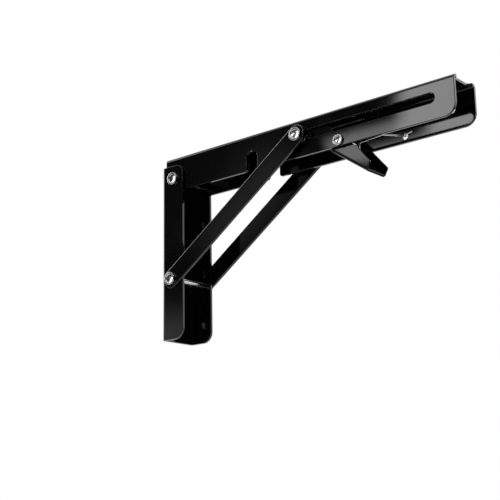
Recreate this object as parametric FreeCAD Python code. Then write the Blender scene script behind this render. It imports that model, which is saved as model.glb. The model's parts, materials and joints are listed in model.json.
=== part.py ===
import FreeCAD, Part
import math
import os

os.makedirs("parts", exist_ok=True)

# Folding bracket in millimetres. X runs from the wall along the arm, Y across, Z up.
# The origin is the middle of the wall channel's back face.

# Sheet and edges
sheet_t = 2.5
bend_in = 1.0
edge_soft = 0.4

# Wall channel
wall_h = 157.0
wall_w = 38.5
wall_d = 25.5
wall_low_r = 10.0
wall_top_r = 8.0

# Arm channel, nested inside the wall channel
side_gap = 0.4
web_gap = 0.5
arm_w = wall_w - 2 * sheet_t - 2 * side_gap
arm_h = 32.2
arm_tip_x = 300.0
arm_tip_r = 10.0
arm_relief = 4.2
arm_relief_r = 1.9
arm_relief_lean = 1.0
arm_ear_r = 0.8

# Fold pivot of the arm, and what lies below and above it
pivot_x = 14.2
pivot_down = 12.1
pivot_z = wall_h / 2 - pivot_down
arm_below = pivot_x - sheet_t - web_gap
arm_above = arm_h - arm_below

# Strut linkage
foot_drop = 92.0
slot_above = 6.3
strut_top_along = 141.7
strut_w = 16.5
strut_t = 3.0
strut_gap = 0.3
strut_len = math.hypot(strut_top_along, foot_drop + slot_above)
folded_along = foot_drop + math.sqrt(strut_len ** 2 - slot_above ** 2)

# Slot, and the notch that clears the foot pin when folded
slot_h = 8.4
slot_play = 0.2
notch_r = 5.9
notch_top = 6.4
notch_back = 2.3
notch_mouth_r = 2.4

# Pins and rivets
pin_d = 6.0
lever_pin_d = 5.0
run_gap = 0.05
head_d = 11.2
head_t = 2.0
head_gap = 0.1
lever_head_d = 9.0
lever_head_t = 1.8
dish_share = 0.62
dish_depth = 0.7
rim_soft = 0.5

# Sliders in the slots
slider_gap = 0.1
slider_d = slot_h - 2 * slider_gap
collar_d = 12.0

# Release lever. Its outline is taken along the arm and up from its own pin.
lever_gap = 0.5
lever_t = 2.0
lever_bend = 0.8
lever_w = arm_w - 2 * sheet_t - 2 * lever_gap
lever_pin_ahead = 38.0
lever_pin_along = strut_top_along + lever_pin_ahead
lever_pin_up = -6.4
nose_play = 1.0
pin_to_slider = math.hypot(lever_pin_ahead, slot_above - lever_pin_up)
nose_reach = pin_to_slider - slider_d / 2 - nose_play
nose_top = 16.6
nose_top_r = 1.0
nose_front = -math.sqrt(nose_reach ** 2 - nose_top ** 2)
nose_end = -12.1
nose_end_r = 1.5
nose_cam = -4.9
nose_cam_up = 8.4
nose_cam_r = 3.0
handle_back = 13.5
handle_back_up = -6.3
handle_back_r = 3.0
handle_tip = 26.9
handle_tip_up = -22.1
handle_tip_r = 1.2
handle_end = 22.8
handle_end_up = -29.6
web_line = -7.4
web_line_up = -8.1
web_start = -13.7
lever_soft = 0.35

# Spring wire. The loop passes through an eye in the arm, the foot stands on the lever's web.
wire_d = 1.4
wire_bend = 1.8
wire_gap = 0.25
eye_d = 5.2
eye_along = 43.0
eye_up = 0.6
loop_half = 0.8
loop_over = 0.5
loop_flare = 0.6
tail_run = 6.5
tail_rise = 1.8
foot_along = 15.6
knee_along = 16.4
knee_up = -4.9
run_along = 21.1
run_rise = 2.0

# Screw holes
screw_d = 6.0
wall_low_hole = 20.0
wall_high_hole = 115.0
wall_mid_hole = (wall_low_hole + wall_high_hole) / 2
table_near_hole = 59.0
table_mid_hole = 139.0
table_far_hole = arm_tip_x - 36.0

# Planes across the bracket
wall_out = wall_w / 2
arm_out = arm_w / 2
arm_in = arm_out - sheet_t
strut_in = wall_out + strut_gap
strut_out = strut_in + strut_t
lever_out = lever_w / 2
lever_in = lever_out - lever_t
arm_top_z = pivot_z + arm_above
arm_low_z = pivot_z - arm_below
foot_z = pivot_z - foot_drop
slot_z = pivot_z + slot_above
lever_pin_x = pivot_x + lever_pin_along
lever_pin_z = pivot_z + lever_pin_up
bend_out = bend_in + sheet_t


def point(x, y, z):
    return FreeCAD.Vector(x, y, z)


def by_lever(along, up, y):
    return point(lever_pin_x + along, y, lever_pin_z + up)


def round_path(corners, closed):
    # Corners are (vector, radius). Straight runs are joined by tangent arcs.
    count = len(corners)
    joints = []
    for i in range(count):
        here, radius = corners[i]
        inner = closed or 0 < i < count - 1
        if radius <= 0 or not inner:
            joints.append((here, None, here))
            continue
        back = (corners[i - 1][0] - here).normalize()
        ahead = (corners[(i + 1) % count][0] - here).normalize()
        half = back.getAngle(ahead) / 2
        reach = radius / math.tan(half)
        middle = (back + ahead).normalize()
        bulge = here + middle * (radius / math.sin(half) - radius)
        joints.append((here + back * reach, bulge, here + ahead * reach))
    edges = []
    for i in range(count):
        start, bulge, end = joints[i]
        if bulge is not None:
            edges.append(Part.Arc(start, bulge, end).toShape())
        if i == count - 1 and not closed:
            break
        following = joints[(i + 1) % count][0]
        if end.distanceToPoint(following) > 1e-6:
            edges.append(Part.makeLine(end, following))
    return Part.Wire(edges)


def side_prism(corners, half_width):
    # A closed outline of (x, z, radius) in the side view, run across the bracket.
    wire = round_path([(point(x, -half_width, z), r) for x, z, r in corners], True)
    return Part.Face(wire).extrude(point(0, 2 * half_width, 0))


def u_channel(start, depth_way, run, width, depth, thick, inside):
    # A folded strip: the web lies at start, the flanges stand along depth_way.
    outside = inside + thick
    half = width / 2
    across = point(0, 1, 0)
    profile = [
        (0, -half, outside),
        (depth, -half, 0),
        (depth, thick - half, 0),
        (thick, thick - half, inside),
        (thick, half - thick, inside),
        (depth, half - thick, 0),
        (depth, half, 0),
        (0, half, outside),
    ]
    corners = [(start + depth_way * q + across * p, r) for q, p, r in profile]
    return Part.Face(round_path(corners, True)).extrude(run)


def cross_hole(x, z, dia, y_from, y_to):
    return Part.makeCylinder(dia / 2, y_to - y_from, point(x, y_from, z), point(0, 1, 0))


def skin_edges(shape, cut_way):
    # Edges between a sheet's two skins and its cut rim. cut_way tells a rim face from a skin.
    found = []
    for edge in shape.Edges:
        faces = shape.ancestorsOfType(edge, Part.Face)
        if len(faces) != 2:
            continue
        kinds = [cut_way(face) for face in faces]
        if kinds[0] != kinds[1]:
            found.append(edge)
    return found


def rim_test(thick_way, run_way):
    # Skins are flanges across Y, the flat web, and bends that run along the channel.
    def is_rim(face):
        surface = face.Surface
        if isinstance(surface, Part.Plane):
            normal = surface.Axis
            if abs(normal.y) > 0.999:
                return False
            if abs(normal.dot(thick_way)) > 0.999:
                return face.BoundBox.YLength < 2 * sheet_t
            return True
        if isinstance(surface, Part.Cylinder):
            return abs(surface.Axis.dot(run_way)) < 0.999
        return True

    return is_rim


def turned(profile, x, z):
    # A closed profile of (radius, y, corner radius), turned about the Y line at x, z.
    wire = round_path([(point(x + r, y, z), c) for r, y, c in profile], True)
    return Part.Face(wire).revolve(point(x, 0, z), point(0, 1, 0), 360)


def head_points(seat, way, dia, thick):
    # A rivet head with a raised rim and a dished middle, from its seat outward.
    edge = dia / 2
    dish = edge * dish_share
    crown = seat + way * thick
    return [
        (edge, seat, 0),
        (edge, crown, rim_soft),
        (dish, crown, rim_soft),
        (dish, crown - way * dish_depth, 0.3),
        (0, crown - way * dish_depth, 0),
    ]


def through_pin(x, z, shank_d, seat, dia, thick):
    far = head_points(seat, 1, dia, thick)
    near = head_points(-seat, -1, dia, thick)
    near.reverse()
    shank = shank_d / 2
    return turned(near + [(shank, -seat, 0), (shank, seat, 0)] + far, x, z)


# Wall channel
wall_low = -wall_h / 2
wall_top = wall_h / 2
wall_channel = u_channel(
    point(0, 0, wall_low), point(1, 0, 0), point(0, 0, wall_h), wall_w, wall_d, sheet_t, bend_in
)
wall_side = side_prism(
    [
        (0, wall_low, 0),
        (wall_d, wall_low, wall_low_r),
        (wall_d, wall_top, wall_top_r),
        (0, wall_top, 0),
    ],
    wall_w,
)
wall_channel = wall_channel.common(wall_side)
wall_channel = wall_channel.makeFillet(
    edge_soft, skin_edges(wall_channel, rim_test(point(1, 0, 0), point(0, 0, 1)))
)
for z in (pivot_z, foot_z):
    wall_channel = wall_channel.cut(cross_hole(pivot_x, z, pin_d, -wall_w, wall_w))
for up in (wall_low_hole, wall_mid_hole, wall_high_hole):
    drill = Part.makeCylinder(screw_d / 2, 3 * sheet_t, point(-sheet_t, 0, wall_low + up), point(1, 0, 0))
    wall_channel = wall_channel.cut(drill)

# Arm channel
tail_x = pivot_x - arm_below
notch_x = pivot_x + foot_drop - notch_back
arm_channel = u_channel(
    point(tail_x, 0, arm_top_z),
    point(0, 0, -1),
    point(arm_tip_x - tail_x, 0, 0),
    arm_w,
    arm_h,
    sheet_t,
    bend_in,
)
arm_side = side_prism(
    [
        (tail_x, arm_low_z, arm_below),
        (notch_x - notch_r, arm_low_z, notch_mouth_r),
        (notch_x - notch_r, pivot_z + notch_top, notch_r),
        (notch_x + notch_r, pivot_z + notch_top, notch_r),
        (notch_x + notch_r, arm_low_z, notch_mouth_r),
        (arm_tip_x, arm_low_z, arm_tip_r),
        (arm_tip_x, arm_top_z, 0),
        (tail_x, arm_top_z, 0),
    ],
    arm_w,
)
arm_channel = arm_channel.common(arm_side)
relief_half = arm_out - bend_out
relief_corners = [
    (point(arm_tip_x + arm_relief, -arm_out, arm_top_z + 1), 0),
    (point(arm_tip_x, -arm_out, arm_top_z + 1), 0),
    (point(arm_tip_x, -relief_half, arm_top_z + 1), arm_ear_r),
    (point(arm_tip_x - arm_relief, arm_relief_lean - relief_half, arm_top_z + 1), arm_relief_r),
    (point(arm_tip_x - arm_relief, relief_half - arm_relief_lean, arm_top_z + 1), arm_relief_r),
    (point(arm_tip_x, relief_half, arm_top_z + 1), arm_ear_r),
    (point(arm_tip_x, arm_out, arm_top_z + 1), 0),
    (point(arm_tip_x + arm_relief, arm_out, arm_top_z + 1), 0),
]
relief = Part.Face(round_path(relief_corners, True)).extrude(point(0, 0, -2 * sheet_t))
arm_channel = arm_channel.cut(relief)
slot_from = pivot_x + strut_top_along - slot_play
slot_to = pivot_x + folded_along + slot_play
slot_ring = side_prism(
    [
        (slot_from - slot_h / 2, slot_z - slot_h / 2, slot_h / 2),
        (slot_to + slot_h / 2, slot_z - slot_h / 2, slot_h / 2),
        (slot_to + slot_h / 2, slot_z + slot_h / 2, slot_h / 2),
        (slot_from - slot_h / 2, slot_z + slot_h / 2, slot_h / 2),
    ],
    arm_w,
)
arm_channel = arm_channel.cut(slot_ring)
arm_channel = arm_channel.makeFillet(
    edge_soft, skin_edges(arm_channel, rim_test(point(0, 0, 1), point(1, 0, 0)))
)
arm_channel = arm_channel.cut(cross_hole(pivot_x, pivot_z, pin_d + 2 * run_gap, -arm_w, arm_w))
arm_channel = arm_channel.cut(cross_hole(lever_pin_x, lever_pin_z, lever_pin_d, -arm_w, arm_w))
arm_channel = arm_channel.cut(cross_hole(lever_pin_x + eye_along, lever_pin_z + eye_up, eye_d, 0, arm_w))
for x in (table_near_hole, table_mid_hole, table_far_hole):
    drill = Part.makeCylinder(screw_d / 2, 3 * sheet_t, point(x, 0, arm_top_z - 2 * sheet_t), point(0, 0, 1))
    arm_channel = arm_channel.cut(drill)

# Struts, one outside each pair of flanges
strut_way = point(strut_top_along, 0, foot_drop + slot_above).normalize()
strut_side = point(-strut_way.z, 0, strut_way.x)


def strut(y_from):
    foot = point(pivot_x, y_from, foot_z)
    top = foot + strut_way * strut_len
    half = strut_w / 2
    corners = [
        (foot - strut_way * half - strut_side * half, half),
        (top + strut_way * half - strut_side * half, half),
        (top + strut_way * half + strut_side * half, half),
        (foot - strut_way * half + strut_side * half, half),
    ]
    bar = Part.Face(round_path(corners, True)).extrude(point(0, strut_t, 0))
    bar = bar.makeFillet(edge_soft, [e for e in bar.Edges if e.BoundBox.YLength < 1e-6])
    foot_hole = cross_hole(foot.x, foot.z, pin_d + 2 * run_gap, y_from - 1, y_from + strut_t + 1)
    top_hole = cross_hole(top.x, top.z, pin_d, y_from - 1, y_from + strut_t + 1)
    return bar.cut(foot_hole).cut(top_hole)


left_strut = strut(-strut_out)
right_strut = strut(strut_in)

# Fixed pins through both sides
hinge_pin = through_pin(pivot_x, pivot_z, pin_d, wall_out, head_d, head_t)
foot_pin = through_pin(pivot_x, foot_z, pin_d, strut_out + head_gap, head_d, head_t)
lever_pin = through_pin(lever_pin_x, lever_pin_z, lever_pin_d, arm_out, lever_head_d, lever_head_t)

# Strut rivets and the sliders they meet at the slots
strut_top_x = pivot_x + strut_top_along


def strut_rivet(way):
    head = head_points(way * strut_out, way, head_d, head_t)
    shank = [(0, way * strut_in, 0), (pin_d / 2, way * strut_in, 0), (pin_d / 2, way * strut_out, 0)]
    return turned(shank + head, strut_top_x, slot_z)


def slot_slider(way):
    shoulder = slider_d / 2
    collar = collar_d / 2
    profile = [
        (0, way * arm_in, 0),
        (shoulder, way * arm_in, 0.3),
        (shoulder, way * (arm_out + head_gap), 0),
        (collar, way * (arm_out + head_gap), 0.3),
        (collar, way * wall_out, 0.3),
        (0, way * wall_out, 0),
    ]
    return turned(profile, strut_top_x, slot_z)


left_strut_rivet = strut_rivet(-1)
right_strut_rivet = strut_rivet(1)
left_slot_slider = slot_slider(-1)
right_slot_slider = slot_slider(1)

# Release lever: a folded strip whose web lies along the handle's underside
web_way = point(handle_end - web_line, 0, handle_end_up - web_line_up).normalize()
open_way = point(-web_way.z, 0, web_way.x)
web_base = by_lever(web_line, web_line_up, 0)
lever_span = handle_end - nose_front
release_lever = u_channel(
    web_base - web_way * lever_span,
    open_way,
    web_way * (2 * lever_span),
    lever_w,
    lever_span,
    lever_t,
    lever_bend,
)
# The nose ends within nose_reach of the lever's pin, where the web's line leaves that circle
line_from_pin = point(web_line, 0, web_line_up)
line_lean = line_from_pin.dot(web_way)
line_back = line_lean + math.sqrt(line_lean ** 2 - line_from_pin.Length ** 2 + nose_reach ** 2)
lever_outline = [
    (web_line - web_way.x * line_back, web_line_up - web_way.z * line_back, 0),
    (handle_end, handle_end_up, 0),
    (handle_tip, handle_tip_up, handle_tip_r),
    (handle_back, handle_back_up, handle_back_r),
    (nose_cam, nose_cam_up, nose_cam_r),
    (nose_end, nose_top, nose_end_r),
    (nose_front, nose_top, nose_top_r),
]
lever_side = side_prism([(lever_pin_x + a, lever_pin_z + u, r) for a, u, r in lever_outline], lever_w)
release_lever = release_lever.common(lever_side)
release_lever = release_lever.makeFillet(lever_soft, skin_edges(release_lever, rim_test(open_way, web_way)))
web_stop = web_base + web_way * ((web_start - web_line) / web_way.x)
room_half = point(0, lever_in - lever_bend, 0)
room_low = web_stop - open_way * lever_t
room_end = room_low - web_way * lever_span
nose_room = Part.Face(
    round_path(
        [
            (room_low - room_half, 0),
            (room_low + room_half, 0),
            (room_end + room_half, 0),
            (room_end - room_half, 0),
        ],
        True,
    )
).extrude(open_way * (3 * lever_t))
release_lever = release_lever.cut(nose_room)
release_lever = release_lever.cut(
    cross_hole(lever_pin_x, lever_pin_z, lever_pin_d + 2 * run_gap, -lever_w, lever_w)
)

# Spring wire: its foot stands on the web beside the left cheek, its loop lies in the right flange
wire_y = lever_in - wire_d / 2 - wire_gap
eye_y = arm_in - wire_d / 2 - wire_gap
web_rise = web_way.z / web_way.x
web_in_up = web_line_up + (foot_along - web_line) * web_rise + lever_t / web_way.x
foot_up = web_in_up + wire_gap - web_rise * wire_d / 2
loop_up = eye_up + loop_over
loop_y = arm_out - wire_d / 2
wire_corners = [
    (by_lever(foot_along, foot_up, -wire_y), 0),
    (by_lever(knee_along, knee_up, -wire_y), wire_bend),
    (by_lever(knee_along + run_along, knee_up + run_rise, -wire_y), wire_bend),
    (by_lever(eye_along - loop_half - loop_flare, loop_up - loop_flare / 2, eye_y), wire_bend),
    (by_lever(eye_along - loop_half, loop_up, loop_y), loop_flare),
    (by_lever(eye_along + loop_half, loop_up, loop_y), loop_flare),
    (by_lever(eye_along + loop_half + loop_flare, loop_up + loop_flare / 2, eye_y), wire_bend),
    (by_lever(eye_along + loop_half + loop_flare + tail_run, loop_up + tail_rise, eye_y), 0),
]
wire_path = round_path(wire_corners, False)
wire_start = wire_corners[0][0]
wire_way = (wire_corners[1][0] - wire_start).normalize()
wire_ring = Part.Wire(Part.makeCircle(wire_d / 2, wire_start, wire_way))
latch_spring = wire_path.makePipeShell([wire_ring], True, False)

nodes = {
    "wall_channel": wall_channel,
    "arm_channel": arm_channel,
    "left_strut": left_strut,
    "right_strut": right_strut,
    "release_lever": release_lever,
    "latch_spring": latch_spring,
    "hinge_pin": hinge_pin,
    "foot_pin": foot_pin,
    "lever_pin": lever_pin,
    "left_strut_rivet": left_strut_rivet,
    "right_strut_rivet": right_strut_rivet,
    "left_slot_slider": left_slot_slider,
    "right_slot_slider": right_slot_slider,
}
for name, shape in nodes.items():
    solid = shape.Solids[0]
    box = solid.BoundBox
    print(name, len(shape.Solids), solid.isValid(), round(solid.Volume, 1),
          [round(v, 2) for v in (box.XMin, box.XMax, box.YMin, box.YMax, box.ZMin, box.ZMax)])
    solid.exportStep("parts/" + name + ".step")
print("strut length", round(strut_len, 3), "folded along", round(folded_along, 3))
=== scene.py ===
import bmesh
import bpy
import json
import math
from mathutils import Matrix, Vector


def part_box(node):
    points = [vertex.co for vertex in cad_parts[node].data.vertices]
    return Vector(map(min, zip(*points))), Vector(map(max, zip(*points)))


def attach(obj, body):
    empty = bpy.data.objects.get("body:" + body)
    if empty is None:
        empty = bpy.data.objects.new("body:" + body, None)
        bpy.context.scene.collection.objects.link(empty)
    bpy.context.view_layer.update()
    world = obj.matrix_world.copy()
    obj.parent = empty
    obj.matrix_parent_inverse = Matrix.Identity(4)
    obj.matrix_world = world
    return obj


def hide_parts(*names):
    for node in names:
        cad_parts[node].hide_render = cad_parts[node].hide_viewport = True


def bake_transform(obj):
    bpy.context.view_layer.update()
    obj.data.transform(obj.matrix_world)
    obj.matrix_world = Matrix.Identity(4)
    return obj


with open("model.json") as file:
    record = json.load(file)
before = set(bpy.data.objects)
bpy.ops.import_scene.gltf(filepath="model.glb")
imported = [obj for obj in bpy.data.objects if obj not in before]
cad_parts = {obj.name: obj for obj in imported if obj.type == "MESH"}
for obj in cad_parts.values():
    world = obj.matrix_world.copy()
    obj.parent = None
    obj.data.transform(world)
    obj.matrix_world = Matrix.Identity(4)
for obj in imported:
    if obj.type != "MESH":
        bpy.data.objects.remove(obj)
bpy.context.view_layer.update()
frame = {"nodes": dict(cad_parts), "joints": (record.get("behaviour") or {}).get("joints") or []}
mm = 0.001
grip = 0.01 * mm  # how close a point has to be to count as on a line
near = 0.1 * mm  # how close it has to be to count as at a corner
weld = 0.002 * mm
drillAcross = 60 * mm  # through both flanges
drillSheet = 12 * mm  # through one sheet
drillSides = 48
turnedSides = 96
crosswise = (0, 1, 0)
lengthwise = (1, 0, 0)
upright = (0, 0, 1)
squareOn = 0.9  # how far a face's normal lies along a direction that it looks in
# angles: edges above sharp are rounded, edges below even are shaded as one
sheetEdges = {"sharp": 40, "even": 45}
turnedEdges = {"sharp": 25, "even": 50}
print("frame loaded:", len(frame["nodes"]), "nodes")

# Places that every piece shares, read from the frame
jointNamed = {j["name"]: j for j in frame["joints"]}
hingeAt, footAt, leverAt = (
    Vector(jointNamed[name]["pos_m"]) for name in ("fold", "strut_swing", "lever_release")
)
sliderLow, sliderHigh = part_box("left_slot_slider")
sliderAt = (sliderLow + sliderHigh) / 2
wallLow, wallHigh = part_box("wall_channel")
armLow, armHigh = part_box("arm_channel")


def letGo():
    if bpy.context.object and bpy.context.object.mode != "OBJECT":
        bpy.ops.object.mode_set(mode="OBJECT")
    bpy.ops.object.select_all(action="DESELECT")


def take(piece):
    letGo()
    piece.select_set(True)
    bpy.context.view_layer.objects.active = piece


def openEdit(piece, kind):
    take(piece)
    bpy.ops.object.mode_set(mode="EDIT")
    bpy.context.tool_settings.mesh_select_mode = [kind == k for k in ("VERT", "EDGE", "FACE")]
    bpy.ops.mesh.select_all(action="DESELECT")
    return bmesh.from_edit_mesh(piece.data)


def settle(piece):
    take(piece)
    bpy.ops.object.transform_apply(location=True, rotation=True, scale=True)
    return piece


def addBlock(name, low, high):
    letGo()
    low, high = Vector(low), Vector(high)
    bpy.ops.mesh.primitive_cube_add(size=1, location=(low + high) / 2)
    block = bpy.context.object
    block.name = name
    block.scale = high - low
    return settle(block)


def addRod(name, middle, way, radius, length, sides):
    letGo()
    turn = Vector(way).to_track_quat("Z", "Y").to_euler()
    bpy.ops.mesh.primitive_cylinder_add(
        vertices=sides, radius=radius, depth=length, location=middle, rotation=turn
    )
    rod = bpy.context.object
    rod.name = name
    return settle(rod)


def onLine(**place):
    # a test for edges whose two ends share these coordinates
    def test(a, b):
        return all(abs(getattr(p, k) - v) < grip for p in (a, b) for k, v in place.items())

    return test


def roundEdges(piece, wanted, radius, steps):
    shape = openEdit(piece, "EDGE")
    reach = radius
    for edge in shape.edges:
        if wanted(edge.verts[0].co, edge.verts[1].co):
            edge.select_set(True)
            reach = radius * math.tan(edge.calc_face_angle() / 2)
    bmesh.update_edit_mesh(piece.data)
    bpy.ops.mesh.bevel(offset=reach, segments=steps, affect="EDGES", clamp_overlap=False)
    letGo()


def applyLast(piece, change):
    take(piece)
    bpy.ops.object.modifier_apply(modifier=change.name)


def cutAway(piece, cutter):
    change = piece.modifiers.new("cut", "BOOLEAN")
    change.operation = "DIFFERENCE"
    change.solver = "EXACT"
    change.object = cutter
    applyLast(piece, change)
    bpy.data.objects.remove(cutter)


def drill(piece, middle, way, radius, length):
    cutAway(piece, addRod("drill", middle, way, radius, length, drillSides))


def splitFaces(piece, way, places):
    # cuts through the holes' middles, so that no large face is left with a hole in it
    for place in places:
        openEdit(piece, "VERT")
        bpy.ops.mesh.select_all(action="SELECT")
        bpy.ops.mesh.bisect(plane_co=Vector(way) * place, plane_no=way, threshold=grip)
        letGo()


def mergeClose(piece, gap):
    openEdit(piece, "VERT")
    bpy.ops.mesh.select_all(action="SELECT")
    bpy.ops.mesh.remove_doubles(threshold=gap)
    bpy.ops.mesh.normals_make_consistent(inside=False)
    letGo()


def roundSharp(piece, soft, steps, sharp, clamp):
    # a small round on every edge that turns by more than sharp degrees
    mergeClose(piece, weld)
    change = piece.modifiers.new("soft", "BEVEL")
    change.width = soft
    change.segments = steps
    change.limit_method = "ANGLE"
    change.angle_limit = math.radians(sharp)
    change.use_clamp_overlap = clamp
    applyLast(piece, change)


def smooth(piece, angle):
    take(piece)
    bpy.ops.object.shade_smooth_by_angle(angle=math.radians(angle))


def softenEdges(piece, soft, steps):
    # worked sheet: its edges rounded, its flats keep their own normals
    roundSharp(piece, soft, steps, sheetEdges["sharp"], False)
    smooth(piece, sheetEdges["even"])
    weigh = piece.modifiers.new("flats", "WEIGHTED_NORMAL")
    weigh.keep_sharp = True
    applyLast(piece, weigh)


def fit(piece, body, node, material):
    piece.data.materials.clear()
    piece.data.materials.append(material)
    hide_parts(node)
    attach(piece, body)
    print("made", piece.name, len(piece.data.polygons), "faces")


def copyPiece(piece, name, shift):
    take(piece)
    twin = piece.copy()
    twin.data = piece.data.copy()
    twin.name = name
    bpy.context.collection.objects.link(twin)
    twin.location = shift
    return settle(twin)


# Finishes
surfaceNoise = {"cloudDetail": 5.0, "rippleDetail": 2.0, "cloudLow": 0.3, "cloudHigh": 0.7}


def addSocket(group, name, way, kind):
    group.interface.new_socket(name, in_out=way, socket_type=kind)


def makeFineSurface():
    # two sizes of noise: a wide one that moves the gloss, a fine one that makes the ripple
    group = bpy.data.node_groups.new("fineSurface", "ShaderNodeTree")
    addSocket(group, "Vector", "INPUT", "NodeSocketVector")
    for name in ("Cloud Scale", "Ripple Scale", "Gloss Low", "Gloss High"):
        addSocket(group, name, "INPUT", "NodeSocketFloat")
    for name in ("Roughness", "Height", "Cloud"):
        addSocket(group, name, "OUTPUT", "NodeSocketFloat")
    nodes, links = group.nodes, group.links
    given = nodes.new("NodeGroupInput")
    out = nodes.new("NodeGroupOutput")
    cloud = nodes.new("ShaderNodeTexNoise")
    cloud.inputs["Detail"].default_value = surfaceNoise["cloudDetail"]
    ripple = nodes.new("ShaderNodeTexNoise")
    ripple.inputs["Detail"].default_value = surfaceNoise["rippleDetail"]
    span = nodes.new("ShaderNodeMapRange")
    span.inputs["From Min"].default_value = surfaceNoise["cloudLow"]
    span.inputs["From Max"].default_value = surfaceNoise["cloudHigh"]
    for texture, scale in ((cloud, "Cloud Scale"), (ripple, "Ripple Scale")):
        links.new(given.outputs["Vector"], texture.inputs["Vector"])
        links.new(given.outputs[scale], texture.inputs["Scale"])
    links.new(cloud.outputs["Fac"], span.inputs["Value"])
    links.new(given.outputs["Gloss Low"], span.inputs["To Min"])
    links.new(given.outputs["Gloss High"], span.inputs["To Max"])
    links.new(span.outputs["Result"], out.inputs["Roughness"])
    links.new(ripple.outputs["Fac"], out.inputs["Height"])
    links.new(cloud.outputs["Fac"], out.inputs["Cloud"])
    return group


fineSurface = makeFineSurface()


def makeFinish(name, look):
    material = bpy.data.materials.new(name)
    material.use_nodes = True
    nodes, links = material.node_tree.nodes, material.node_tree.links
    shader = nodes["Principled BSDF"]
    shader.inputs["Metallic"].default_value = look["metallic"]
    shader.inputs["IOR"].default_value = look["ior"]
    where = nodes.new("ShaderNodeTexCoord")
    skin = nodes.new("ShaderNodeGroup")
    skin.node_tree = fineSurface
    links.new(where.outputs["Object"], skin.inputs["Vector"])
    for socket, value in look["skin"].items():
        skin.inputs[socket].default_value = value
    tint = nodes.new("ShaderNodeMix")
    tint.data_type = "RGBA"
    tint.inputs["A"].default_value = (*look["dark"], 1)
    tint.inputs["B"].default_value = (*look["light"], 1)
    bump = nodes.new("ShaderNodeBump")
    bump.inputs["Strength"].default_value = look["bump"]
    bump.inputs["Distance"].default_value = look["bumpDepth"]
    links.new(skin.outputs["Cloud"], tint.inputs["Factor"])
    links.new(tint.outputs["Result"], shader.inputs["Base Color"])
    links.new(skin.outputs["Roughness"], shader.inputs["Roughness"])
    links.new(skin.outputs["Height"], bump.inputs["Height"])
    links.new(bump.outputs["Normal"], shader.inputs["Normal"])
    return material


blackPaint = makeFinish("blackPaint", {
    "metallic": 0.0,
    "ior": 1.5,
    "dark": (0.0012, 0.0012, 0.0013),
    "light": (0.0024, 0.0024, 0.0026),
    "bump": 0.12,
    "bumpDepth": 0.02 * mm,
    "skin": {"Cloud Scale": 45.0, "Ripple Scale": 520.0, "Gloss Low": 0.05, "Gloss High": 0.09},
})
zincSteel = makeFinish("zincSteel", {
    "metallic": 1.0,
    "ior": 1.5,
    "dark": (0.44, 0.44, 0.45),
    "light": (0.58, 0.58, 0.57),
    "bump": 0.05,
    "bumpDepth": 0.01 * mm,
    "skin": {"Cloud Scale": 260.0, "Ripple Scale": 1500.0, "Gloss Low": 0.15, "Gloss High": 0.22},
})
springWire = makeFinish("springWire", {
    "metallic": 1.0,
    "ior": 1.5,
    "dark": (0.42, 0.42, 0.425),
    "light": (0.58, 0.58, 0.575),
    "bump": 0.05,
    "bumpDepth": 0.01 * mm,
    "skin": {"Cloud Scale": 300.0, "Ripple Scale": 2600.0, "Gloss Low": 0.3, "Gloss High": 0.42},
})
print("finishes made")


# Wall channel: a block, its bends and corners rounded, hollowed from the front
wallSheet = {
    "thick": 2.5 * mm,
    "bendInside": 1.0 * mm,
    "lowCorner": 10.0 * mm,
    "topCorner": 8.0 * mm,
    "pinHole": 3.0 * mm,
    "screwHole": 3.0 * mm,
    "screwUp": (20.0 * mm, 67.5 * mm, 115.0 * mm),
    "soft": 0.4 * mm,
    # steps in each round
    "bendSteps": 10,
    "insideSteps": 8,
    "cornerSteps": 20,
    "softSteps": 4,
}
sheet = wallSheet["thick"]
bendOutside = wallSheet["bendInside"] + sheet
wallChannel = addBlock("wallChannel", wallLow, wallHigh)
for side in (wallLow.y, wallHigh.y):
    roundEdges(wallChannel, onLine(x=wallLow.x, y=side), bendOutside, wallSheet["bendSteps"])
for z, radius in ((wallLow.z, wallSheet["lowCorner"]), (wallHigh.z, wallSheet["topCorner"])):
    roundEdges(wallChannel, onLine(x=wallHigh.x, z=z), radius, wallSheet["cornerSteps"])
wallRoom = addBlock(
    "wallRoom",
    (wallLow.x + sheet, wallLow.y + sheet, 2 * wallLow.z),
    (2 * wallHigh.x, wallHigh.y - sheet, 2 * wallHigh.z),
)
for side in (wallLow.y + sheet, wallHigh.y - sheet):
    roundEdges(
        wallRoom, onLine(x=wallLow.x + sheet, y=side), wallSheet["bendInside"], wallSheet["insideSteps"]
    )
cutAway(wallChannel, wallRoom)
for pin in (hingeAt, footAt):
    drill(wallChannel, pin, crosswise, wallSheet["pinHole"], drillAcross)
for up in wallSheet["screwUp"]:
    drill(wallChannel, (0, 0, wallLow.z + up), lengthwise, wallSheet["screwHole"], drillSheet)
softenEdges(wallChannel, wallSheet["soft"], wallSheet["softSteps"])
fit(wallChannel, "wall", "wall_channel", blackPaint)

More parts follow.
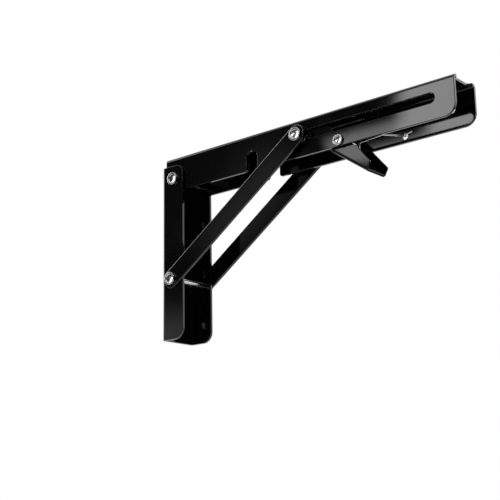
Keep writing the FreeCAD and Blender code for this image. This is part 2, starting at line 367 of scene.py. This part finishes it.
# Arm channel: the same way, opened from below, then notch, slot and end relief
armSheet = {
    "thick": 2.5 * mm,
    "bendInside": 1.0 * mm,
    "tipCorner": 10.0 * mm,
    "notchRadius": 5.9 * mm,
    "notchTop": 6.4 * mm,
    "notchBack": 2.3 * mm,
    "notchMouth": 2.4 * mm,
    "slotHeight": 8.4 * mm,
    "slotPlay": 0.2 * mm,
    "slotTravel": jointNamed["slot_slide"]["range_m"][1],
    "relief": 3.3 * mm,
    "reliefLean": 0.9 * mm,
    "reliefRound": 1.6 * mm,
    "earRound": 1.2 * mm,
    "earFlat": 1.5 * mm,
    "pinHole": 3.05 * mm,
    "leverPinHole": 2.5 * mm,
    "eye": 2.6 * mm,
    "eyeAlong": 43.0 * mm,
    "eyeUp": 0.6 * mm,
    "screwHole": 3.0 * mm,
    "screwAlong": (59.0 * mm, 139.0 * mm, 264.0 * mm),
    "soft": 0.4 * mm,
    # share of a full round, so that two of them don't quite meet
    "fullRound": 0.999,
    # steps in each round
    "bendSteps": 10,
    "insideSteps": 8,
    "tailSteps": 24,
    "cornerSteps": 20,
    "endSteps": 16,
    "mouthSteps": 8,
    "reliefSteps": 8,
    "earSteps": 6,
    "softSteps": 4,
}
armChannel = addBlock("armChannel", armLow, armHigh)
for side in (armLow.y, armHigh.y):
    roundEdges(armChannel, onLine(y=side, z=armHigh.z), bendOutside, armSheet["bendSteps"])
tailRadius = hingeAt.z - armLow.z
roundEdges(armChannel, onLine(x=armLow.x, z=armLow.z), tailRadius, armSheet["tailSteps"])
roundEdges(armChannel, onLine(x=armHigh.x, z=armLow.z), armSheet["tipCorner"], armSheet["cornerSteps"])
armRoom = addBlock(
    "armRoom",
    (armLow.x - sheet, armLow.y + sheet, armLow.z - sheet),
    (armHigh.x + sheet, armHigh.y - sheet, armHigh.z - sheet),
)
for side in (armLow.y + sheet, armHigh.y - sheet):
    roundEdges(
        armRoom, onLine(y=side, z=armHigh.z - sheet), armSheet["bendInside"], armSheet["insideSteps"]
    )
cutAway(armChannel, armRoom)

# notch that clears the foot pin when folded
notchX = hingeAt.x + (hingeAt.z - footAt.z) - armSheet["notchBack"]
notchTop = hingeAt.z + armSheet["notchTop"]
notchHalf = armSheet["notchRadius"]
notchSides = (notchX - notchHalf, notchX + notchHalf)
notch = addBlock(
    "notch",
    (notchSides[0], 2 * armLow.y, armLow.z - sheet),
    (notchSides[1], 2 * armHigh.y, notchTop),
)
for x in notchSides:
    roundEdges(notch, onLine(x=x, z=notchTop), armSheet["fullRound"] * notchHalf, armSheet["endSteps"])
cutAway(armChannel, notch)
for x in notchSides:
    roundEdges(armChannel, onLine(x=x, z=armLow.z), armSheet["notchMouth"], armSheet["mouthSteps"])

# long slot, from the strut's pin to where it ends when folded
slotHalf = armSheet["slotHeight"] / 2
slotFrom = sliderAt.x - armSheet["slotPlay"] - slotHalf
slotTo = sliderAt.x + armSheet["slotTravel"] + armSheet["slotPlay"] + slotHalf
slot = addBlock(
    "slot",
    (slotFrom, 2 * armLow.y, sliderAt.z - slotHalf),
    (slotTo, 2 * armHigh.y, sliderAt.z + slotHalf),
)
for x in (slotFrom, slotTo):
    for z in (sliderAt.z - slotHalf, sliderAt.z + slotHalf):
        roundEdges(slot, onLine(x=x, z=z), armSheet["fullRound"] * slotHalf, armSheet["endSteps"])
cutAway(armChannel, slot)

# relief in the web at the free end, between two rounded ears that stay clear of the bends
reliefX = armHigh.x - armSheet["relief"]
reliefHalf = armHigh.y - bendOutside - armSheet["earFlat"]
reliefFloor = reliefHalf - armSheet["reliefLean"]
reliefOuter = reliefHalf + armSheet["reliefLean"]
relief = addBlock(
    "relief",
    (reliefX, -reliefOuter, armHigh.z - 2 * sheet),
    (armHigh.x + armSheet["relief"], reliefOuter, armHigh.z + sheet),
)
shape = openEdit(relief, "VERT")
for vert in shape.verts:
    vert.select_set(vert.co.x < armHigh.x)
shape.select_flush(True)
bmesh.update_edit_mesh(relief.data)
bpy.ops.transform.resize(
    value=(1, reliefFloor / reliefOuter, 1), center_override=(reliefX, 0, armHigh.z)
)
letGo()
for side in (-1, 1):
    roundEdges(
        relief, onLine(x=reliefX, y=side * reliefFloor), armSheet["reliefRound"], armSheet["reliefSteps"]
    )
cutAway(armChannel, relief)
for side in (-1, 1):
    roundEdges(
        armChannel, onLine(x=armHigh.x, y=side * reliefHalf), armSheet["earRound"], armSheet["earSteps"]
    )

# holes for the pins, the spring's eye and the screws
drill(armChannel, hingeAt, crosswise, armSheet["pinHole"], drillAcross)
drill(armChannel, leverAt, crosswise, armSheet["leverPinHole"], drillAcross)
eyeAt = leverAt + Vector((armSheet["eyeAlong"], armHigh.y, armSheet["eyeUp"]))
drill(armChannel, eyeAt, crosswise, armSheet["eye"], drillSheet)
for along in armSheet["screwAlong"]:
    drill(armChannel, (along, 0, armHigh.z), upright, armSheet["screwHole"], drillSheet)
slotMiddle = slotFrom / 2 + slotTo / 2
splitFaces(armChannel, lengthwise, [hingeAt.x, leverAt.x, eyeAt.x, slotMiddle, *armSheet["screwAlong"]])
softenEdges(armChannel, armSheet["soft"], armSheet["softSteps"])
fit(armChannel, "arm", "arm_channel", blackPaint)

# Struts: a bar with full round ends, swung up about its foot
strutBar = {
    "width": 16.5 * mm,
    "footHole": 3.05 * mm,
    "topHole": 3.0 * mm,
    "soft": 0.95 * mm,
    "fullRound": 0.9995,
    "endSteps": 20,
    "softSteps": 6,
}
leftLow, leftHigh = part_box("left_strut")
rightLow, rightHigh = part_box("right_strut")
strutWay = Vector((sliderAt.x - footAt.x, 0, sliderAt.z - footAt.z))
strutHalf = strutBar["width"] / 2
strutTop = footAt.x + strutWay.length
leftStrut = addBlock(
    "leftStrut",
    (footAt.x - strutHalf, leftLow.y, footAt.z - strutHalf),
    (strutTop + strutHalf, leftHigh.y, footAt.z + strutHalf),
)
for x in (footAt.x - strutHalf, strutTop + strutHalf):
    for z in (footAt.z - strutHalf, footAt.z + strutHalf):
        roundEdges(leftStrut, onLine(x=x, z=z), strutBar["fullRound"] * strutHalf, strutBar["endSteps"])
drill(leftStrut, footAt, crosswise, strutBar["footHole"], drillAcross)
drill(leftStrut, (strutTop, footAt.y, footAt.z), crosswise, strutBar["topHole"], drillAcross)
splitFaces(leftStrut, lengthwise, [footAt.x, footAt.x + strutWay.length / 2, strutTop])
swing = Matrix.Rotation(-math.atan2(strutWay.z, strutWay.x), 4, "Y")
leftStrut.matrix_world = Matrix.Translation(footAt) @ swing @ Matrix.Translation(-footAt)
settle(leftStrut)
softenEdges(leftStrut, strutBar["soft"], strutBar["softSteps"])
rightStrut = copyPiece(leftStrut, "rightStrut", (0, rightLow.y - leftLow.y, 0))
fit(leftStrut, "struts", "left_strut", blackPaint)
fit(rightStrut, "struts", "right_strut", blackPaint)

# Rivet heads: drawn out from the end of a shank, with a raised rim round a bowl
rivetHead = {
    "rimTop": 0.74,
    "bowlEdge": 0.9,
    "bowlFloor": 0.45,
    "bowlDepth": 1.15 * mm,
    "wallShare": 0.6,
    "soft": 0.45 * mm,
    "softSteps": 5,
}


def endFace(piece, way):
    # picks the last face across the piece and gives its middle
    shape = openEdit(piece, "FACE")
    shape.faces.ensure_lookup_table()
    facing = [f for f in shape.faces if f.normal.y * way > squareOn]
    last = max(facing, key=lambda f: f.calc_center_median().y * way)
    last.select_set(True)
    middle = last.calc_center_median().copy()
    bmesh.update_edit_mesh(piece.data)
    return middle


def pull(shift):
    bpy.ops.mesh.extrude_region_move(TRANSFORM_OT_translate={"value": (0, shift, 0)})


def widen(share, middle):
    bpy.ops.transform.resize(value=(share, 1, share), center_override=middle)


def drawHead(piece, way, shank, radius, thick):
    middle = endFace(piece, way)
    pull(0)
    widen(radius / shank, middle)
    pull(way * thick)
    pull(0)
    widen(rivetHead["rimTop"], middle)
    pull(-way * rivetHead["bowlDepth"] * rivetHead["wallShare"])
    widen(rivetHead["bowlEdge"], middle)
    pull(-way * rivetHead["bowlDepth"] * (1 - rivetHead["wallShare"]))
    widen(rivetHead["bowlFloor"], middle)
    letGo()


def turnedFinish(piece, soft):
    roundSharp(piece, soft, rivetHead["softSteps"], turnedEdges["sharp"], True)
    smooth(piece, turnedEdges["even"])


def makePin(name, at, node, shank, radius, seat):
    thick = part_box(node)[1].y - seat
    pin = addRod(name, (at.x, 0, at.z), crosswise, shank, 2 * seat, turnedSides)
    for way in (-1, 1):
        drawHead(pin, way, shank, radius, thick)
    turnedFinish(pin, rivetHead["soft"])
    return pin


pinSizes = {
    "shank": 3.0 * mm,
    "head": 5.6 * mm,
    "leverShank": 2.5 * mm,
    "leverHead": 4.5 * mm,
    "play": 0.1 * mm,
}
hingePin = makePin("hingePin", hingeAt, "hinge_pin", pinSizes["shank"], pinSizes["head"], wallHigh.y)
fit(hingePin, "wall", "hinge_pin", zincSteel)
footPin = makePin(
    "footPin", footAt, "foot_pin", pinSizes["shank"], pinSizes["head"], rightHigh.y + pinSizes["play"]
)
fit(footPin, "wall", "foot_pin", zincSteel)
leverPin = makePin(
    "leverPin", leverAt, "lever_pin", pinSizes["leverShank"], pinSizes["leverHead"], armHigh.y
)
fit(leverPin, "arm", "lever_pin", zincSteel)

# Strut rivets, one on each side, and then the sliders behind them in the arm's slots
for side, way in (("left", -1), ("right", 1)):
    node = side + "_strut_rivet"
    low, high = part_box(node)
    seat = way * rightHigh.y
    inner = way * rightLow.y
    rivet = addRod(
        side + "StrutRivet", (sliderAt.x, (seat + inner) / 2, sliderAt.z), crosswise,
        pinSizes["shank"], abs(seat - inner), turnedSides,
    )
    drawHead(rivet, way, pinSizes["shank"], pinSizes["head"], max(abs(low.y), abs(high.y)) - rightHigh.y)
    turnedFinish(rivet, rivetHead["soft"])
    fit(rivet, "struts", node, zincSteel)

sliderSizes = {"shoulder": 4.1 * mm, "collar": 6.0 * mm, "play": 0.1 * mm, "soft": 0.3 * mm}
for side, way in (("left", -1), ("right", 1)):
    node = side + "_slot_slider"
    low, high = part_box(node)
    inner = way * min(abs(low.y), abs(high.y))
    outer = way * max(abs(low.y), abs(high.y))
    step = way * (armHigh.y + sliderSizes["play"])
    slider = addRod(
        side + "SlotSlider", (sliderAt.x, (inner + step) / 2, sliderAt.z), crosswise,
        sliderSizes["shoulder"], abs(step - inner), turnedSides,
    )
    middle = endFace(slider, way)
    pull(0)
    widen(sliderSizes["collar"] / sliderSizes["shoulder"], middle)
    pull(outer - step)
    letGo()
    turnedFinish(slider, sliderSizes["soft"])
    fit(slider, "sliders", node, zincSteel)

# Release lever: a block trimmed to its side outline, its fold rounded, hollowed along the handle
leverSheet = {
    "thick": 2.0 * mm,
    "bendInside": 0.8 * mm,
    # along the arm and up from the lever's pin
    "handleEnd": (22.8 * mm, -29.6 * mm),
    "handleTip": (26.9 * mm, -22.1 * mm),
    "handleBack": (13.5 * mm, -6.3 * mm),
    "noseCam": (-4.9 * mm, 8.4 * mm),
    "noseEnd": (-12.1 * mm, 16.6 * mm),
    "noseFront": (-30.78 * mm, 16.6 * mm),
    "noseLow": (-33.42 * mm, 10.3 * mm),
    "webStart": -13.7 * mm,
    "lip": 0.5 * mm,
    "pinHole": 2.55 * mm,
    "rounds": {
        "handleTip": 1.2 * mm,
        "handleBack": 3.0 * mm,
        "noseCam": 3.0 * mm,
        "noseEnd": 1.5 * mm,
        "noseFront": 1.0 * mm,
    },
    "soft": 0.35 * mm,
    "spare": 5.0 * mm,
    "foldSteps": 8,
    "insideSteps": 6,
    "roundSteps": 10,
    "softSteps": 3,
    # the rooms that are cut out: how far they run, and how deep the nose's one reaches
    "roomReach": 80.0 * mm,
    "noseRoom": (-2.0 * mm, 4.0 * mm),
}
leverLow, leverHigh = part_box("release_lever")


def byLever(place, y=0):
    return Vector((leverAt.x + place[0], y, leverAt.z + place[1]))


def sideOn(point):
    return Vector((point.x, 0, point.z))


def trim(piece, start, end):
    # keeps what lies left of the line from start to end in the side view
    openEdit(piece, "FACE")
    bpy.ops.mesh.select_all(action="SELECT")
    line = (end - start).normalized()
    bpy.ops.mesh.bisect(
        plane_co=start, plane_no=(line.z, 0, -line.x), use_fill=True, clear_outer=True, threshold=grip
    )
    letGo()


corners = {
    key: byLever(leverSheet[key])
    for key in ("noseLow", "handleEnd", "handleTip", "handleBack", "noseEnd", "noseFront")
}
spare = Vector((leverSheet["spare"], 0, leverSheet["spare"]))
releaseLever = addBlock("releaseLever", leverLow - spare, leverHigh + spare)
outline = list(corners.values())
for start, end in zip(outline, outline[1:] + outline[:1]):
    trim(releaseLever, start, end)

# the cam's hollow: the long edges behind the nose get a middle point that is pushed in
shape = openEdit(releaseLever, "EDGE")
ends = (corners["handleBack"], corners["noseEnd"])
for edge in shape.edges:
    spots = [sideOn(v.co) for v in edge.verts]
    fromEnds = all(min((s - e).length for e in ends) < near for s in spots)
    edge.select_set(fromEnds and (spots[0] - spots[1]).length > mm)
bmesh.update_edit_mesh(releaseLever.data)
bpy.ops.mesh.subdivide(number_cuts=1)
letGo()
camAt = byLever(leverSheet["noseCam"])
camFrom = (ends[0] + ends[1]) / 2
shape = openEdit(releaseLever, "VERT")
for vert in shape.verts:
    vert.select_set((sideOn(vert.co) - camFrom).length < near)
bmesh.update_edit_mesh(releaseLever.data)
bpy.ops.transform.translate(value=camAt - camFrom)
letGo()
corners["noseCam"] = camAt

# fold along the underside, then the outline's own corners
foldWay = corners["handleEnd"] - corners["noseLow"]
leverFold = leverSheet["thick"] + leverSheet["bendInside"]


def onFold(side):
    # a test for edges along the fold on one side
    def test(a, b):
        spots = [sideOn(p) - corners["noseLow"] for p in (a, b)]
        off = max(s.cross(foldWay).length / foldWay.length for s in spots)
        return off < near / 2 and max(abs(a.y - side), abs(b.y - side)) < grip

    return test


def acrossAt(place):
    # a test for edges that run across the lever at a corner of its outline
    def test(a, b):
        return all((sideOn(p) - place).length < near for p in (a, b))

    return test


for side in (leverLow.y, leverHigh.y):
    roundEdges(releaseLever, onFold(side), leverFold, leverSheet["foldSteps"])
for corner, radius in leverSheet["rounds"].items():
    roundEdges(releaseLever, acrossAt(corners[corner]), radius, leverSheet["roundSteps"])

# hollow between the cheeks, laid along the fold, and an open nose
lean = Matrix.Rotation(math.atan2(-foldWay.z, foldWay.x), 4, "Y")
leverIn = leverHigh.y - leverSheet["thick"]
roomReach = leverSheet["roomReach"]


def layAlongFold(block):
    block.matrix_world = Matrix.Translation(corners["noseLow"]) @ lean
    return settle(block)


leverRoom = addBlock(
    "leverRoom", (-roomReach, -leverIn, leverSheet["thick"]), (roomReach, leverIn, roomReach)
)
for side in (-leverIn, leverIn):
    inFold = onLine(y=side, z=leverSheet["thick"])
    roundEdges(leverRoom, inFold, leverSheet["bendInside"], leverSheet["insideSteps"])
cutAway(releaseLever, layAlongFold(leverRoom))
webStop = (leverSheet["webStart"] - leverSheet["noseLow"][0]) * foldWay.length / foldWay.x
noseHalf = leverIn - leverSheet["bendInside"] - leverSheet["lip"]
noseFloor, noseRoof = leverSheet["noseRoom"]
noseRoom = addBlock("noseRoom", (-roomReach, -noseHalf, noseFloor), (webStop, noseHalf, noseRoof))
cutAway(releaseLever, layAlongFold(noseRoom))
drill(releaseLever, leverAt, crosswise, leverSheet["pinHole"], drillAcross)
splitFaces(releaseLever, lengthwise, [leverAt.x])
splitFaces(releaseLever, upright, [leverAt.z])
softenEdges(releaseLever, leverSheet["soft"], leverSheet["softSteps"])
fit(releaseLever, "lever", "release_lever", blackPaint)

# Spring wire: its foot stands on the lever's web, its loop lies in the eye of the far flange
wire = {"radius": 0.7 * mm, "play": 0.25 * mm, "weld": 0.001 * mm, "bendSteps": 10, "roundSteps": 6}
cheekY = (leverSheet["thick"] + wire["radius"] + wire["play"] - leverHigh.y) / mm
flangeY = (armHigh.y - sheet - wire["radius"] - wire["play"]) / mm
loopY = (armHigh.y - wire["radius"]) / mm
# along the arm and up from the lever's pin, then across, in mm
wirePoints = [
    (15.6, -21.2, cheekY),
    (16.0, -14.0, cheekY),
    (16.3, -6.6, cheekY),
    (16.4, -4.9, cheekY),
    (18.2, -4.7, cheekY),
    (27.0, -3.9, cheekY),
    (35.8, -3.1, cheekY),
    (37.5, -2.9, cheekY),
    (37.9, -2.6, cheekY + 1.6),
    (39.6, -0.9, 1.0),
    (41.4, 0.7, flangeY - 1.6),
    (41.6, 0.8, flangeY),
    (42.0, 1.0, flangeY + 1.6),
    (42.2, 1.1, loopY),
    (43.0, 1.1, loopY + 0.1),
    (43.8, 1.1, loopY),
    (44.0, 1.2, flangeY + 1.6),
    (44.4, 1.4, flangeY),
    (46.0, 1.8, flangeY),
    (50.9, 2.9, flangeY),
]
letGo()
bpy.ops.curve.primitive_nurbs_path_add()
latchSpring = bpy.context.object
latchSpring.name = "latchSpring"
latchSpring.data.splines.clear()
spline = latchSpring.data.splines.new("NURBS")
spline.points.add(len(wirePoints) - 1)
for knot, (along, up, y) in zip(spline.points, wirePoints):
    knot.co = (*byLever((along * mm, up * mm), y * mm), 1)
spline.use_endpoint_u = True
spline.order_u = 3
spline.resolution_u = wire["bendSteps"]
latchSpring.data.dimensions = "3D"
latchSpring.data.bevel_depth = wire["radius"]
latchSpring.data.bevel_resolution = wire["roundSteps"]
latchSpring.data.use_fill_caps = True
take(latchSpring)
bpy.ops.object.convert(target="MESH")
latchSpring = bpy.context.object
mergeClose(latchSpring, wire["weld"])
smooth(latchSpring, turnedEdges["even"])
latchSpring.data.materials.clear()
latchSpring.data.materials.append(springWire)
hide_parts("latch_spring")
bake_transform(latchSpring)
print("made", latchSpring.name, len(latchSpring.data.polygons), "faces")

# Floor, camera and studio
stageSet = {
    "floorAt": -0.26,
    "floorSize": 2.4,
    "floorMiddle": (0.1, 0.25, -0.26),
    "fadeFrom": 0.5,
    "fadeTo": 0.95,
}
letGo()
bpy.ops.mesh.primitive_plane_add(size=stageSet["floorSize"], location=(0, 0, stageSet["floorAt"]))
floor = bpy.context.object
floor.name = "floor"
settle(floor)
paleFloor = makeFinish("paleFloor", {
    "metallic": 0.0,
    "ior": 1.3,
    "dark": (0.82, 0.82, 0.82),
    "light": (0.88, 0.88, 0.88),
    "bump": 0.05,
    "bumpDepth": 0.1 * mm,
    "skin": {"Cloud Scale": 3.0, "Ripple Scale": 300.0, "Gloss Low": 0.55, "Gloss High": 0.7},
})
# the floor fades out round its middle, so that no edge of it shows
nodes, links = paleFloor.node_tree.nodes, paleFloor.node_tree.links
fade = nodes.new("ShaderNodeVectorMath")
fade.operation = "DISTANCE"
fade.inputs[1].default_value = stageSet["floorMiddle"]
reach = nodes.new("ShaderNodeMapRange")
reach.interpolation_type = "SMOOTHSTEP"
reach.inputs["From Min"].default_value = stageSet["fadeTo"]
reach.inputs["From Max"].default_value = stageSet["fadeFrom"]
links.new(nodes["Texture Coordinate"].outputs["Object"], fade.inputs[0])
links.new(fade.outputs["Value"], reach.inputs["Value"])
links.new(reach.outputs["Result"], nodes["Principled BSDF"].inputs["Alpha"])
floor.data.materials.append(paleFloor)

viewpoint = {
    "place": (675.36 * mm, -699.96 * mm, -233.81 * mm),
    "yaw": 40.076,
    "pitch": 13.849,
    "roll": -1.056,
    "lens": 79.73,
    "sensor": 36,
    "clipFrom": 10 * mm,
}
yaw, pitch, roll = (math.radians(viewpoint[k]) for k in ("yaw", "pitch", "roll"))
ahead = Vector((-math.sin(yaw) * math.cos(pitch), math.cos(yaw) * math.cos(pitch), math.sin(pitch)))
across = Vector((math.cos(yaw), math.sin(yaw), 0))
upward = across.cross(ahead)
rightSide = across * math.cos(roll) + upward * math.sin(roll)
topSide = upward * math.cos(roll) - across * math.sin(roll)
letGo()
bpy.ops.object.camera_add()
camera = bpy.context.object
camera.data.lens = viewpoint["lens"]
camera.data.sensor_width = viewpoint["sensor"]
camera.data.clip_start = viewpoint["clipFrom"]
camera.matrix_world = Matrix.Translation(viewpoint["place"]) @ Matrix(
    (rightSide, topSide, -ahead)
).transposed().to_4x4()
bpy.context.scene.camera = camera
print("camera placed")


def makeSoftPanel():
    # a rectangle of light with soft edges, seen from a point one unit in front of it
    group = bpy.data.node_groups.new("softPanel", "ShaderNodeTree")
    for name in ("Direction", "Facing", "Across", "Upward"):
        addSocket(group, name, "INPUT", "NodeSocketVector")
    for name in ("Half Width", "Half Height", "Softness"):
        addSocket(group, name, "INPUT", "NodeSocketFloat")
    addSocket(group, "Mask", "OUTPUT", "NodeSocketFloat")
    nodes, links = group.nodes, group.links
    given = nodes.new("NodeGroupInput")
    out = nodes.new("NodeGroupOutput")

    def along(name):
        dot = nodes.new("ShaderNodeVectorMath")
        dot.operation = "DOT_PRODUCT"
        links.new(given.outputs["Direction"], dot.inputs[0])
        links.new(given.outputs[name], dot.inputs[1])
        return dot.outputs["Value"]

    def reckon(operation, first, second):
        node = nodes.new("ShaderNodeMath")
        node.operation = operation
        for socket, value in zip(node.inputs, (first, second)):
            if isinstance(value, (int, float)):
                socket.default_value = value
            else:
                links.new(value, socket)
        return node.outputs[0]

    leastDepth = 0.01
    depth = along("Facing")
    deep = reckon("MAXIMUM", depth, leastDepth)
    mask = reckon("GREATER_THAN", depth, 2 * leastDepth)
    for name, half in (("Across", "Half Width"), ("Upward", "Half Height")):
        reach = reckon("ABSOLUTE", reckon("DIVIDE", along(name), deep), 0.0)
        edge = nodes.new("ShaderNodeMapRange")
        edge.interpolation_type = "SMOOTHSTEP"
        links.new(reach, edge.inputs["Value"])
        for socket, operation in (("From Min", "ADD"), ("From Max", "SUBTRACT")):
            limit = reckon(operation, given.outputs[half], given.outputs["Softness"])
            links.new(limit, edge.inputs[socket])
        mask = reckon("MULTIPLY", mask, edge.outputs["Result"])
    links.new(mask, out.inputs["Mask"])
    return group


softPanel = makeSoftPanel()
studio = {
    "base": 0.03,
    "camera": 1.0,
    # azimuth from +X towards +Y, elevation, roll, half sizes and softness as tangents, brightness
    "panels": {
        "backdrop": (130, 12, 0, 2.6, 0.95, 0.45, 1.0),
        "fill": (230, 16.4, 49, 0.055, 0.022, 0.024, 0.27),
        "low": (225, 6.5, 0, 0.12, 0.07, 0.018, 0.55),
        "left": (190, 27, 0, 0.48, 0.3, 0.08, 3.6),
        "front": (318, 40, 0, 0.3, 0.2, 0.1, 2.0),
        "side": (272, 2, 0, 0.3, 0.34, 0.2, 0.3),
        "rim": (55, 18, 0, 0.4, 0.5, 0.2, 1.6),
        "top": (200, 82, 0, 0.9, 0.6, 0.4, 1.4),
    },
}


def panelAxes(azimuth, elevation, turn):
    a, e, t = (math.radians(v) for v in (azimuth, elevation, turn))
    facing = Vector((math.cos(a) * math.cos(e), math.sin(a) * math.cos(e), math.sin(e)))
    level = Vector((-math.sin(a), math.cos(a), 0))
    up = facing.cross(level)
    return facing, level * math.cos(t) + up * math.sin(t), up * math.cos(t) - level * math.sin(t)


def addPanel(nodes, axes, sizes):
    panel = nodes.new("ShaderNodeGroup")
    panel.node_tree = softPanel
    for socket, axis in zip(("Facing", "Across", "Upward"), axes):
        panel.inputs[socket].default_value = axis
    for socket, size in zip(("Half Width", "Half Height", "Softness"), sizes):
        panel.inputs[socket].default_value = size
    return panel


# two panels stand near by, so that near and far flange catch their edges in different places
nearPanels = {
    # middle, azimuth, slant, half width, half height, softness, brightness
    "tall": ((0.0972, -0.3414, 0.207), 238.07, 0, 0.04, 0.045, 0.011, 5.4),
    "wing": ((0.0319, -0.3006, 0.168), 238.07, 12.7, 0.042, 0.018, 0.009, 3.1),
}

for name, (middle, azimuth, slant, halfWide, halfHigh, soft, bright) in nearPanels.items():
    axes = facing, across, upward = panelAxes(azimuth, 0, slant)
    letGo()
    bpy.ops.mesh.primitive_plane_add(size=2)
    screen = bpy.context.object
    screen.name = name + "Panel"
    turned = Matrix((across, upward, facing)).transposed().to_4x4()
    span = Matrix.Diagonal((halfWide + soft, halfHigh + soft, 1, 1))
    screen.matrix_world = Matrix.Translation(middle) @ turned @ span
    settle(screen)
    screen.visible_camera = False
    glow = bpy.data.materials.new(name + "Glow")
    glow.use_nodes = True
    nodes, links = glow.node_tree.nodes, glow.node_tree.links
    nodes.remove(nodes["Principled BSDF"])
    where = nodes.new("ShaderNodeTexCoord")
    offset = nodes.new("ShaderNodeVectorMath")
    offset.operation = "SUBTRACT"
    offset.inputs[1].default_value = Vector(middle) - facing
    panel = addPanel(nodes, axes, (halfWide, halfHigh, soft))
    power = nodes.new("ShaderNodeMath")
    power.operation = "MULTIPLY"
    power.inputs[1].default_value = bright
    lamp = nodes.new("ShaderNodeEmission")
    clear = nodes.new("ShaderNodeBsdfTransparent")
    both = nodes.new("ShaderNodeAddShader")
    links.new(where.outputs["Object"], offset.inputs[0])
    links.new(offset.outputs["Vector"], panel.inputs["Direction"])
    links.new(panel.outputs["Mask"], power.inputs[0])
    links.new(power.outputs["Value"], lamp.inputs["Strength"])
    links.new(lamp.outputs["Emission"], both.inputs[0])
    links.new(clear.outputs["BSDF"], both.inputs[1])
    links.new(both.outputs["Shader"], nodes["Material Output"].inputs["Surface"])
    screen.data.materials.append(glow)

# the rest of the light comes from far off, and the camera sees plain white
world = bpy.data.worlds.new("studio")
bpy.context.scene.world = world
world.use_nodes = True
nodes, links = world.node_tree.nodes, world.node_tree.links
background = nodes["Background"]
where = nodes.new("ShaderNodeTexCoord")
total = None
for name, (azimuth, elevation, turn, wide, high, soft, bright) in studio["panels"].items():
    panel = addPanel(nodes, panelAxes(azimuth, elevation, turn), (wide, high, soft))
    panel.label = name
    power = nodes.new("ShaderNodeMath")
    power.operation = "MULTIPLY_ADD"
    power.inputs[1].default_value = bright
    power.inputs[2].default_value = studio["base"]
    links.new(where.outputs["Generated"], panel.inputs["Direction"])
    links.new(panel.outputs["Mask"], power.inputs[0])
    if total is not None:
        links.new(total, power.inputs[2])
    total = power.outputs["Value"]
path = nodes.new("ShaderNodeLightPath")
pick = nodes.new("ShaderNodeMix")
links.new(path.outputs["Is Camera Ray"], pick.inputs["Factor"])
links.new(total, pick.inputs["A"])
pick.inputs["B"].default_value = studio["camera"]
links.new(pick.outputs["Result"], background.inputs["Strength"])
background.inputs["Color"].default_value = (1, 1, 1, 1)
bpy.context.scene.view_settings.view_transform = "Standard"
print("studio lit")
